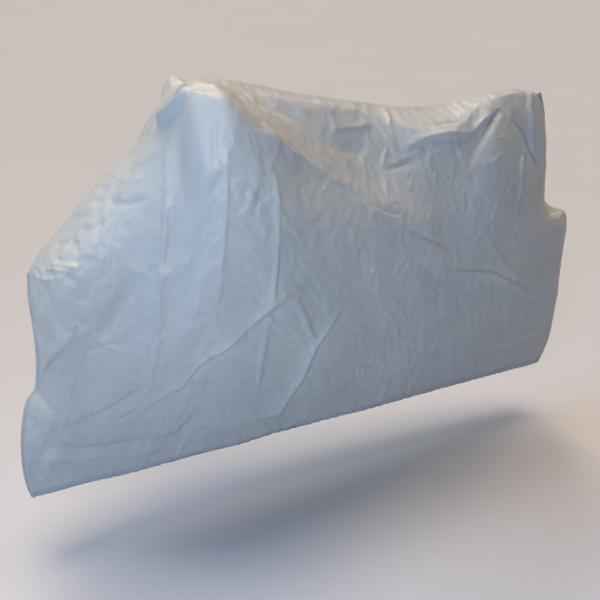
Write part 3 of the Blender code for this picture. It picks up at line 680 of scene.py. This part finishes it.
@dataclass(frozen=True)
class FoldField:
    """Folds on one side of the cover, read as a height out of the cloth.

    taper is the share of a fold's path over which it fades in at either end, and
    plain_end is how far from the sewn ends the folds reach their full height.
    """

    folds: tuple[Fold, ...]
    facets: tuple[Facets, ...] = ()
    taper: float = 0.18
    plain_end: float = 0.035
    path_points: int = 29

    def lift(self, alongs: np.ndarray, drops: np.ndarray) -> np.ndarray:
        """Adds the folds up.

        Args:
            alongs: each point's place from front to rear.
            drops: each point's drop from the top line.

        Returns:
            How far each point is raised, in metres.
        """
        total = np.zeros(drops.shape)
        cloth = np.stack([alongs, drops], axis=-1)
        for one in self.folds:
            self.add(one, cloth, total)
        for facets in self.facets:
            total += facets.lift(alongs, drops)
        plain = np.clip(np.minimum(alongs, alongs.max() - alongs) / self.plain_end, 0.0, 1.0)
        return eased(plain, total)

    def add(self, one: Fold, cloth: np.ndarray, total: np.ndarray) -> None:
        """Adds one fold to the total, near its path only.

        Args:
            one: the fold.
            cloth: each point's (along, drop).
            total: the heights so far, which the fold's are added to.
        """
        LOG.debug("raising %s", one.name)
        knots = np.array(one.path)
        lengths = lengths_along(knots)
        count = self.path_points if len(knots) > 2 else 2
        line = curve(lengths, knots, np.linspace(0.0, lengths[-1], count), PATH_LOOSENESS)
        start, step = line[:-1], np.diff(line, axis=0)
        reach = CRISP_RANGE * max(one.left, one.right)
        low, high = line.min(axis=0) - reach, line.max(axis=0) + reach
        rows = np.flatnonzero((cloth[:, 0, 0] > low[0]) & (cloth[:, 0, 0] < high[0]))
        if not len(rows):
            return
        strip = slice(rows[0], rows[-1] + 1)
        near = (cloth[strip, :, 1] > low[1]) & (cloth[strip, :, 1] < high[1])
        offset = cloth[strip][near][:, None] - start
        t = np.clip((offset * step).sum(-1) / (step**2).sum(-1), 0.0, 1.0)
        miss = offset - t[..., None] * step
        distance = np.hypot(miss[..., 0], miss[..., 1])
        nearest = distance.argmin(axis=1)
        row = np.arange(len(nearest))
        heading, arm = step[nearest], offset[row, nearest]
        on_right = heading[:, 0] * arm[:, 1] - heading[:, 1] * arm[:, 0] > 0.0
        away = distance[row, nearest] / np.where(on_right, one.right, one.left)
        walked = (nearest + t[row, nearest]) / len(start)
        share = eased(np.clip(np.minimum(walked, 1.0 - walked) / self.taper, 0.0, 1.0))
        if one.profile is Profile.CRISP:
            height = np.exp(-away) * np.clip(CRISP_RANGE - away, 0.0, 1.0)
        else:
            height = np.exp(-away**2)
        total[strip][near] += one.lift * share * height


@dataclass(frozen=True)
class Drape:
    """The whole folded sheet, from the near hem over the top to the far hem."""

    near: LoftedSide = LoftedSide(NEAR_SIDE)
    far: LoftedSide = LoftedSide(FAR_SIDE)

    def laid(self, columns: int, rows: int) -> tuple[np.ndarray, np.ndarray, np.ndarray]:
        """Lays a sheet over the two sides, without any fold.

        Args:
            columns: how many columns of points the sheet has, from front to rear.
            rows: how many rows it has from the top line to either hem.

        Returns:
            The cloth's own places, which are alongs, and drops that are negative on
            the near side, and then the points as (along, down, xyz).
        """
        alongs = np.linspace(0.0, NEAR_SIDE[-1].along, columns)
        shares = np.linspace(0.0, 1.0, rows)
        near, near_drops = self.near.surface(alongs, shares)
        far, far_drops = self.far.surface(alongs, shares)
        drops = np.concatenate([-near_drops[:, :0:-1], far_drops], axis=1)
        sheet = np.concatenate([near[:, :0:-1], far], axis=1)
        sheet[:, :, 2] -= HOLD_HEIGHT
        return np.repeat(alongs[:, None], drops.shape[1], axis=1), drops, sheet

    def raised(self, sheet: np.ndarray, near: FoldField, far: FoldField) -> np.ndarray:
        """Raises folds along a sheet's normals.

        Args:
            sheet: the sheet's points.
            near: the near side's folds.
            far: the far side's folds.

        Returns:
            The new points.
        """
        columns, lines = sheet.shape[:2]
        top = (lines - 1) // 2
        alongs, drops, _ = self.laid(columns, top + 1)
        lift = np.zeros((columns, lines))
        lift[:, :top + 1] += near.lift(alongs[:, :top + 1], -drops[:, :top + 1])
        lift[:, top:] += far.lift(alongs[:, top:], drops[:, top:])
        lift[:, top] /= 2.0
        normals = np.cross(np.gradient(sheet, axis=0), np.gradient(sheet, axis=1))
        normals /= np.linalg.norm(normals, axis=-1, keepdims=True) + TINY
        return sheet + normals * lift[..., None]

    def crumpled(self, columns: int, rows: int) -> np.ndarray:
        """The sheet's points with the main folds and the facets of crumpled cloth."""
        folded = self.raised(self.laid(columns, rows)[2], FoldField(NEAR_FOLDS), FoldField(FAR_FOLDS))
        return self.raised(folded, FoldField((), NEAR_FACETS), FoldField((), FAR_FACETS))

    def creased(self, sheet: np.ndarray) -> np.ndarray:
        """Raises the crisp creases, the listed ones and the strewn ones.

        Args:
            sheet: the sheet's points.

        Returns:
            The new points.
        """
        near = FoldField(NEAR_CREASES + NEAR_CRUMPLES.folds(), taper=CREASE_TAPER)
        far = FoldField(FAR_CREASES + FAR_CRUMPLES.folds(), taper=CREASE_TAPER)
        return self.raised(sheet, near, far)


@dataclass(frozen=True)
class SettledCloth:
    """The crumpling that the cloth simulation adds to the drape.

    slack is how much bigger than its drape the cloth is, loose the hold on it away
    from the top line and the sewn ends, and cap how far a point may move.
    """

    columns: int = 186
    rows: int = 111
    frames: int = 14
    slack: float = 0.013
    loose: float = 0.30
    cap: float = 0.010

    def push(self, drape: Drape) -> np.ndarray:
        """Runs the simulation on a coarse sheet.

        Args:
            drape: the cover's drape, to start from.

        Returns:
            How far each of the coarse sheet's points moved, as (along, down, xyz).
        """
        points = drape.crumpled(self.columns, self.rows)
        sheet = sheet_object("settling", points)
        self.hold(sheet)
        cloth = sheet.modifiers.new("Cloth", "CLOTH")
        for name, value in CLOTH_SETTINGS.items():
            setattr(cloth.settings, name, value)
        cloth.settings.vertex_group_mass = "held"
        cloth.settings.shrink_min = -self.slack
        cloth.point_cache.frame_start = 1
        cloth.point_cache.frame_end = self.frames
        scene = bpy.context.scene
        for number in range(1, self.frames + 1):
            scene.frame_set(number)
        graph = bpy.context.evaluated_depsgraph_get()
        settled = sheet.evaluated_get(graph).to_mesh()
        flat = np.empty(len(settled.vertices) * 3, dtype=np.float32)
        settled.vertices.foreach_get("co", flat)
        sheet.evaluated_get(graph).to_mesh_clear()
        scene.frame_set(1)
        bpy.data.objects.remove(sheet, do_unlink=True)
        moved = flat.reshape(points.shape[1], self.columns, 3).transpose(1, 0, 2) - points
        size = np.linalg.norm(moved, axis=-1, keepdims=True)
        LOG.info("cloth moved %.1f mm on average, %.1f mm at most",
                 size.mean() * MILLIMETRES, size.max() * MILLIMETRES)
        return moved * np.minimum(1.0, self.cap / np.maximum(size, TINY))

    def hold(self, sheet: bpy.types.Object) -> None:
        """Holds the top line and the sewn ends fast, and the rest of the sheet loosely.

        Args:
            sheet: the coarse sheet, which gets the vertex group "held".
        """
        fast = np.zeros((2 * self.rows - 1, self.columns), dtype=bool)
        fast[self.rows - 2:self.rows + 1] = True
        fast[:, :2] = fast[:, -2:] = True
        group = sheet.vertex_groups.new(name="held")
        for points, weight in ((fast, 1.0), (~fast, self.loose)):
            group.add(np.flatnonzero(points).tolist(), weight, "REPLACE")


def sheet_object(name: str, points: np.ndarray) -> bpy.types.Object:
    """Adds a grid and puts its points in place.

    Args:
        name: the object's name.
        points: the sheet's points as (along, down, xyz).

    Returns:
        The new object, whose vertices run along the sheet first.
    """
    columns, lines = points.shape[:2]
    bpy.ops.object.select_all(action="DESELECT")
    bpy.ops.mesh.primitive_grid_add(x_subdivisions=columns - 1, y_subdivisions=lines - 1,
                                    size=2.0, calc_uvs=True)
    sheet = bpy.context.object
    sheet.name = name
    sheet.data.vertices.foreach_set("co", points.transpose(1, 0, 2).astype(np.float32).ravel())
    sheet.data.update()
    return sheet


def enlarged(grid: np.ndarray, columns: int, lines: int) -> np.ndarray:
    """Reads a coarse grid of vectors at a finer grid's points, smoothly.

    Args:
        grid: the vectors, as (along, down, xyz).
        columns: how many columns the finer grid has.
        lines: how many lines it has down each column.

    Returns:
        The finer grid's vectors.
    """
    for count in (columns, lines):
        fine = curve(np.linspace(0.0, 1.0, len(grid)), grid.reshape(len(grid), -1),
                     np.linspace(0.0, 1.0, count), 1.0)
        grid = fine.reshape(count, *grid.shape[1:]).transpose(1, 0, 2)
    return grid


@dataclass(frozen=True)
class Value:
    """A socket of a shader's numbers, which takes Python's operators."""

    paint: "Paint"
    socket: bpy.types.NodeSocket

    def __add__(self, other: "Value | float") -> "Value":
        """Adds a value or number."""
        return self.paint.math("ADD", self, other)

    __radd__ = __add__

    def __sub__(self, other: "Value | float") -> "Value":
        """Takes a value or number away."""
        return self.paint.math("SUBTRACT", self, other)

    def __rsub__(self, other: float) -> "Value":
        """Takes this away from a number."""
        return self.paint.math("SUBTRACT", other, self)

    def __mul__(self, other: "Value | float") -> "Value":
        """Multiplies by a value or number."""
        return self.paint.math("MULTIPLY", self, other)

    def smooth(self, low: float, high: float) -> "Value":
        """Rises smoothly from 0 at low to 1 at high."""
        return self.paint.node("ShaderNodeMapRange", {"interpolation_type": "SMOOTHSTEP"},
                               {"Value": self, "From Min": low, "From Max": high})


class Paint:
    """Builds one material's nodes."""

    def __init__(self, name: str) -> None:
        """Starts a material with a bare Principled shader.

        Args:
            name: the material's name.
        """
        self.material = bpy.data.materials.new(name)
        self.material.use_nodes = True
        self.tree = self.material.node_tree
        self.shader = self.tree.nodes["Principled BSDF"]

    def node(self, kind: str, settings: dict, inputs: dict, output: int | str = 0) -> Value:
        """Adds a node.

        Args:
            kind: the node's type.
            settings: its settings, set before its sockets are read.
            inputs: values or links, by socket name or number.
            output: the output to return.

        Returns:
            The chosen output.
        """
        made = self.tree.nodes.new(kind)
        for name, value in settings.items():
            setattr(made, name, value)
        for name, value in inputs.items():
            self.feed(made.inputs[name], value)
        return Value(self, made.outputs[output])

    def feed(self, socket: bpy.types.NodeSocket, value: "Value | float | tuple") -> None:
        """Gives a socket a link or a constant.

        Args:
            socket: an input.
            value: what goes into it.
        """
        if isinstance(value, Value):
            self.tree.links.new(value.socket, socket)
        else:
            socket.default_value = value

    def plug(self, **values: "Value | float | tuple") -> None:
        """Feeds the shader's own sockets, whose names are written with underscores."""
        for name, value in values.items():
            self.feed(self.shader.inputs[name.replace("_", " ")], value)

    def math(self, operation: str, *inputs: "Value | float") -> Value:
        """Adds a Math node on values and numbers."""
        return self.node("ShaderNodeMath", {"operation": operation}, dict(enumerate(inputs)))

    def noise(self, place: Value, scale: float, detail: float, roughness: float) -> Value:
        """Cloudy noise from 0 to 1."""
        return self.node("ShaderNodeTexNoise", {}, {
            "Vector": place, "Scale": scale, "Detail": detail, "Roughness": roughness})

    def drift(self, place: Value, scale: float, reach: float) -> Value:
        """Shifts a place to and fro.

        Args:
            place: the place on the cloth.
            scale: how fine the cloudy shifts are.
            reach: about twice the furthest shift, in metres.

        Returns:
            The shifted place.
        """
        cloud = self.node("ShaderNodeTexNoise", {}, {"Vector": place, "Scale": scale}, "Color")
        return self.node("ShaderNodeVectorMath", {"operation": "MULTIPLY_ADD"},
                         {0: cloud, 1: (reach, reach, 0.0), 2: place})

    def cones(self, place: Value, scale: float, heading: float, stretch: float) -> Value:
        """Shallow cones that meet in sharp lines.

        Args:
            place: the place on the cloth.
            scale: how small the cones are.
            heading: the way in which they are drawn out, in degrees.
            stretch: how far they are drawn out.

        Returns:
            The height, from 0 on the lines.
        """
        turned = self.node("ShaderNodeMapping", {"vector_type": "TEXTURE"}, {
            "Vector": place, "Rotation": (0.0, 0.0, math.radians(heading)),
            "Scale": (stretch, 1.0, 1.0)})
        return self.node(
            "ShaderNodeTexVoronoi", {"voronoi_dimensions": "2D", "feature": "DISTANCE_TO_EDGE"},
            {"Vector": turned, "Scale": scale, "Detail": 2.0, "Roughness": 0.5,
             "Lacunarity": 2.2}, "Distance")

    def mix(self, share: Value, first: Value | tuple, second: Value | tuple) -> Value:
        """Mixes two colours. share is how much of the second one shows."""
        return self.node("ShaderNodeMix", {"data_type": "RGBA"},
                         {0: share, 6: first, 7: second}, 2)

    def bump(self, height: Value, distance: float, strength: float, **under: Value) -> Value:
        """Turns a height into a normal, over another bump's Normal if one is given."""
        return self.node("ShaderNodeBump", {}, {
            "Height": height, "Distance": distance, "Strength": strength, **under})


@dataclass(frozen=True)
class CoatedCloth:
    """The cover's cloth: pale blue-grey, thin, with a half glossy coating.

    seam is painted shade: a darker, bluer colour where the cloth lies double, at the hem
    and the sewn ends. seam_shade_share is how much of this painted shade shows, and uneven how
    much the roughness differs from place to place. Widths and depths are in metres.
    """

    base: tuple[float, float, float, float] = (0.31, 0.37, 0.44, 1.0)
    pale: tuple[float, float, float, float] = (0.36, 0.42, 0.49, 1.0)
    # seam: painted shade, darker and bluer where the cloth lies double at the hem and the sewn ends
    seam: tuple[float, float, float, float] = (0.22, 0.30, 0.40, 1.0)
    seam_shade_share: float = 0.6
    roughness: float = 0.50
    uneven: float = 0.14
    hem_width: float = 0.020
    seam_width: float = 0.012
    seam_blur: float = 0.001
    grain_depth: float = 0.0005
    seam_depth: float = 0.0012
    crease_depth: float = 0.0060

    def material(self) -> bpy.types.Material:
        """Builds the cloth's material.

        Returns:
            The new material.
        """
        paint = Paint("coated_cloth")
        cloth = paint.node("ShaderNodeUVMap", {"uv_map": "UVMap"}, {})
        clouds = paint.noise(cloth, scale=5.0, detail=3.0, roughness=0.55)
        doubled = self.doubled(paint)
        cover = paint.mix(clouds.smooth(low=0.30, high=0.75), self.base, self.pale)
        # The hem and the sewn ends get painted shade: the seam colour there is darker and bluer.
        paint.plug(Base_Color=paint.mix(doubled * self.seam_shade_share, cover, self.seam),
                   Roughness=self.roughness + (clouds - 0.5) * self.uneven,
                   Specular_IOR_Level=0.5, Sheen_Weight=0.15, Sheen_Roughness=0.5)
        grain = paint.noise(cloth, scale=240.0, detail=2.0, roughness=0.6)
        fine = paint.bump(grain, self.grain_depth, strength=0.35)
        step = paint.bump(doubled, self.seam_depth, strength=1.0, Normal=fine)
        paint.plug(Normal=paint.bump(self.creased(paint, cloth), self.crease_depth,
                                     strength=1.0, Normal=step))
        return paint.material

    def doubled(self, paint: Paint) -> Value:
        """Finds where the cloth lies double, which gets the seam's painted shade and a raised step.

        Args:
            paint: the material's builder.

        Returns:
            1 at the hem and the sewn ends, and 0 elsewhere.
        """
        edges = paint.node("ShaderNodeUVMap", {"uv_map": "Edges"}, {})
        from_end, from_hem = (paint.node("ShaderNodeSeparateXYZ", {}, {0: edges}, axis)
                              for axis in "XY")
        sewn = paint.math("MINIMUM", from_end, from_hem * (self.seam_width / self.hem_width))
        return 1.0 - sewn.smooth(self.seam_width - self.seam_blur, self.seam_width + self.seam_blur)

    @staticmethod
    def creased(paint: Paint, cloth: Value) -> Value:
        """Raises the coating's finest creases, in patches that slant or hang.

        Args:
            paint: the material's builder.
            cloth: the place on the cloth.

        Returns:
            The creases' height.
        """
        drifted = paint.drift(cloth, scale=8.0, reach=0.08)
        hanging = paint.cones(drifted, scale=15.0, heading=82.0, stretch=1.6)
        slanting = paint.cones(drifted, scale=18.0, heading=-38.0, stretch=1.5)
        clouds = paint.noise(cloth, scale=4.0, detail=2.0, roughness=0.5)
        patches = clouds.smooth(low=0.42, high=0.58)
        wear = paint.noise(cloth, scale=5.0, detail=2.0, roughness=0.5)
        worn = wear.smooth(low=0.40, high=0.62) * 0.7 + 0.3
        return (hanging * patches + slanting * (1.0 - patches)) * worn


@dataclass(frozen=True)
class CoverCloth:
    """The cover itself, as one sheet of cloth.

    weld is the gap that the sewn ends are closed over. turned_over is the angle
    past which two triangles count as turned over, kept_edge how near to an edge of
    the cloth they are left alone, and easing how far each round moves their points.
    """

    thickness: float = 0.0008
    columns: int = 520
    rows: int = 330
    triangles: int = 96000
    weld: float = 0.0001
    flat_size: tuple[float, float] = (1.9, 2.4)
    flat_area: float = 3.6
    kept_edge: float = 0.010
    turned_over: float = math.radians(65.0)
    easings: int = 6
    easing: float = 0.5
    drape: Drape = Drape()
    settling: SettledCloth = SettledCloth()

    def shape(self) -> np.ndarray:
        """Works the finished sheet out.

        Returns:
            The sheet's points as (along, down, xyz).
        """
        points = self.drape.crumpled(self.columns, self.rows)
        points = points + enlarged(self.settling.push(self.drape), *points.shape[:2])
        return self.drape.creased(points)

    def build(self) -> bpy.types.Object:
        """Makes the sheet, sews its ends up and gives it its thickness.

        Returns:
            The finished piece.
        """
        cover = sheet_object("cover_cloth", self.shape())
        self.lay_out(cover.data)
        numbers = np.arange(len(cover.data.vertices)).reshape(-1, self.columns)
        inner = cover.vertex_groups.new(name="inner")
        inner.add(numbers[1:-1, 1:-1].ravel().tolist(), 1.0, "REPLACE")
        bpy.ops.object.mode_set(mode="EDIT")
        bpy.ops.mesh.select_all(action="SELECT")
        bpy.ops.mesh.remove_doubles(threshold=self.weld)
        bpy.ops.object.mode_set(mode="OBJECT")
        merge = cover.modifiers.new("Merge flat triangles", "DECIMATE")
        merge.ratio = self.triangles / (2.0 * len(cover.data.polygons))
        merge.use_collapse_triangulate = True
        merge.vertex_group = inner.name
        bpy.ops.object.modifier_apply(modifier=merge.name)
        self.ease(cover.data)
        bpy.ops.object.shade_smooth()
        wall = cover.modifiers.new("Cloth thickness", "SOLIDIFY")
        wall.thickness = self.thickness
        wall.offset = -1.0
        bpy.ops.object.modifier_apply(modifier=wall.name)
        cover.data.materials.append(CoatedCloth().material())
        LOG.info("%s: %d triangles", cover.name, len(cover.data.polygons))
        return cover

    def lay_out(self, mesh: bpy.types.Mesh) -> None:
        """Sets two maps in metres: the place on the flat cloth, and how far its edges are.

        Args:
            mesh: the sheet's mesh, while it is still a whole grid.
        """
        alongs, drops, _ = self.drape.laid(self.columns, self.rows)
        from_end = np.minimum(alongs, alongs.max() - alongs)
        hems = np.abs(drops[:, [0, -1]])
        from_hem = np.where(drops < 0.0, hems[:, :1], hems[:, 1:]) - np.abs(drops)
        corners = np.empty(len(mesh.loops), dtype=np.int32)
        mesh.loops.foreach_get("vertex_index", corners)
        mesh.uv_layers[0].name = "UVMap"
        mesh.uv_layers.new(name="Edges")
        for layer, pair in zip(mesh.uv_layers, ((alongs, drops), (from_end, from_hem))):
            flat = np.stack([part.T.ravel() for part in pair], axis=1).astype(np.float32)
            layer.data.foreach_set("uv", flat[corners].ravel())

    def ease(self, mesh: bpy.types.Mesh) -> None:
        """Smooths the few places where merging the triangles left one that is turned over.

        Args:
            mesh: the sheet's mesh, before it gets its thickness.
        """
        cloth = bmesh.new()
        cloth.from_mesh(mesh)
        edges_map = cloth.loops.layers.uv["Edges"]
        for _ in range(self.easings):
            cloth.normal_update()
            turned = set()
            for edge in cloth.edges:
                if len(edge.link_faces) == 2 and edge.calc_face_angle() > self.turned_over:
                    if min(edge.link_loops[0][edges_map].uv) > self.kept_edge:
                        turned.update(edge.verts)
            LOG.info("%d points to ease", len(turned))
            bmesh.ops.smooth_vert(cloth, verts=list(turned), factor=self.easing,
                                  use_axis_x=True, use_axis_y=True, use_axis_z=True)
        cloth.to_mesh(mesh)
        cloth.free()

    def declare(self, cover: bpy.types.Object) -> None:
        """Hangs the piece on the root body and hides the part that it stands for.

        Args:
            cover: the finished piece.
        """
        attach(cover, "root")
        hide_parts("cover")


class LampKind(Enum):
    """The kinds of light in the studio."""

    EVEN = "SUN"
    PANEL = "AREA"


@dataclass(frozen=True)
class Lamp:
    """A soft light that faces the cover. softness is degrees, or a panel's side in metres."""

    name: str
    kind: LampKind
    place: tuple[float, float, float]
    softness: float
    power: float
    colour: tuple[float, float, float]
    target: tuple[float, float, float] = (0.0, 0.0, -0.4)

    def add(self) -> None:
        """Puts the light in the scene."""
        bpy.ops.object.light_add(type=self.kind.value, location=self.place)
        lamp = bpy.context.object
        lamp.name = self.name
        if self.kind is LampKind.EVEN:
            lamp.data.angle = math.radians(self.softness)
        else:
            lamp.data.size = self.softness
        lamp.data.energy = self.power
        lamp.data.color = self.colour
        aim = Vector(self.target) - Vector(self.place)
        lamp.rotation_euler = aim.to_track_quat("-Z", "Y").to_euler()


@dataclass(frozen=True)
class Studio:
    """The pale floor, the soft lights and the camera.

    focal is in pixels of a picture image_size wide, and sensor in millimetres.
    """

    floor_reach: float = 40.0
    floor_dark: tuple[float, float, float, float] = (0.37, 0.43, 0.54, 1.0)
    floor_pale: tuple[float, float, float, float] = (0.39, 0.45, 0.56, 1.0)
    air_light: float = 0.03
    camera_place: tuple[float, float, float] = (-1.1416, -1.7234, 1.5876 - HOLD_HEIGHT)
    yaw: float = 0.5388
    pitch: float = 0.4467
    roll: float = -0.0683
    focal: float = 799.86
    image_size: float = 600.0
    sensor: float = 36.0
    lamps: tuple[Lamp, ...] = (
        Lamp("warm_top", LampKind.EVEN, (0.0, 0.3, 3.0), 30.0, 3.1, (1.0, 0.69, 0.43)),
        Lamp("warm_back", LampKind.EVEN, (0.3, 2.2, 2.0), 30.0, 1.8, (1.0, 0.76, 0.54)),
        Lamp("cool_left", LampKind.EVEN, (-2.5, 0.8, 1.6), 30.0, 1.1, (0.55, 0.80, 1.0)),
        Lamp("cool_front", LampKind.PANEL, (-1.45, -1.8, 0.40), 0.6, 30.5, (0.79, 0.89, 1.0)),
    )

    def build(self) -> None:
        """Sets the studio up."""
        self.floor()
        self.air()
        for lamp in self.lamps:
            lamp.add()
        self.camera()

    def floor(self) -> None:
        """Lays the floor."""
        bpy.ops.object.select_all(action="DESELECT")
        bpy.ops.mesh.primitive_plane_add(size=2.0 * self.floor_reach,
                                         location=(0.0, 0.0, -HOLD_HEIGHT))
        bpy.ops.object.transform_apply(location=True, rotation=True, scale=True)
        floor = bpy.context.object
        floor.name = "floor"
        paint = Paint("pale_floor")
        place = paint.node("ShaderNodeTexCoord", {}, {}, "Object")
        haze = paint.noise(place, scale=1.2, detail=2.0, roughness=0.4)
        paint.plug(Base_Color=paint.mix(haze, self.floor_dark, self.floor_pale),
                   Roughness=0.9, Specular_IOR_Level=0.1)
        floor.data.materials.append(paint.material)

    def air(self) -> None:
        """Fills the room with even light."""
        world = bpy.data.worlds.new("studio_air")
        bpy.context.scene.world = world
        world.use_nodes = True
        sky = world.node_tree.nodes["Background"]
        sky.inputs["Color"].default_value = (1.0, 1.0, 1.0, 1.0)
        sky.inputs["Strength"].default_value = self.air_light
        bpy.context.scene.view_settings.view_transform = "Standard"

    def camera(self) -> None:
        """Stands the camera at the photograph's viewing angle."""
        look = Vector((math.sin(self.yaw) * math.cos(self.pitch),
                       math.cos(self.yaw) * math.cos(self.pitch), -math.sin(self.pitch)))
        level = Vector((math.cos(self.yaw), -math.sin(self.yaw), 0.0))
        below = look.cross(level)
        right = math.cos(self.roll) * level + math.sin(self.roll) * below
        down = math.cos(self.roll) * below - math.sin(self.roll) * level
        axes = Matrix((right, -down, -look)).transposed()
        data = bpy.data.cameras.new("camera")
        data.sensor_width = self.sensor
        data.lens = self.sensor * self.focal / self.image_size
        camera = bpy.data.objects.new("camera", data)
        camera.matrix_world = Matrix.Translation(self.camera_place) @ axes.to_4x4()
        bpy.context.scene.collection.objects.link(camera)
        bpy.context.scene.camera = camera


def main() -> None:
    """Builds the studio and the cover."""
    logging.basicConfig(level=logging.INFO, format="%(name)s: %(message)s")
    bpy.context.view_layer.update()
    Studio().build()
    cloth = CoverCloth()
    cover = cloth.build()
    cloth.declare(cover)
    LOG.info("cover built")


if __name__ == "__main__":
    main()
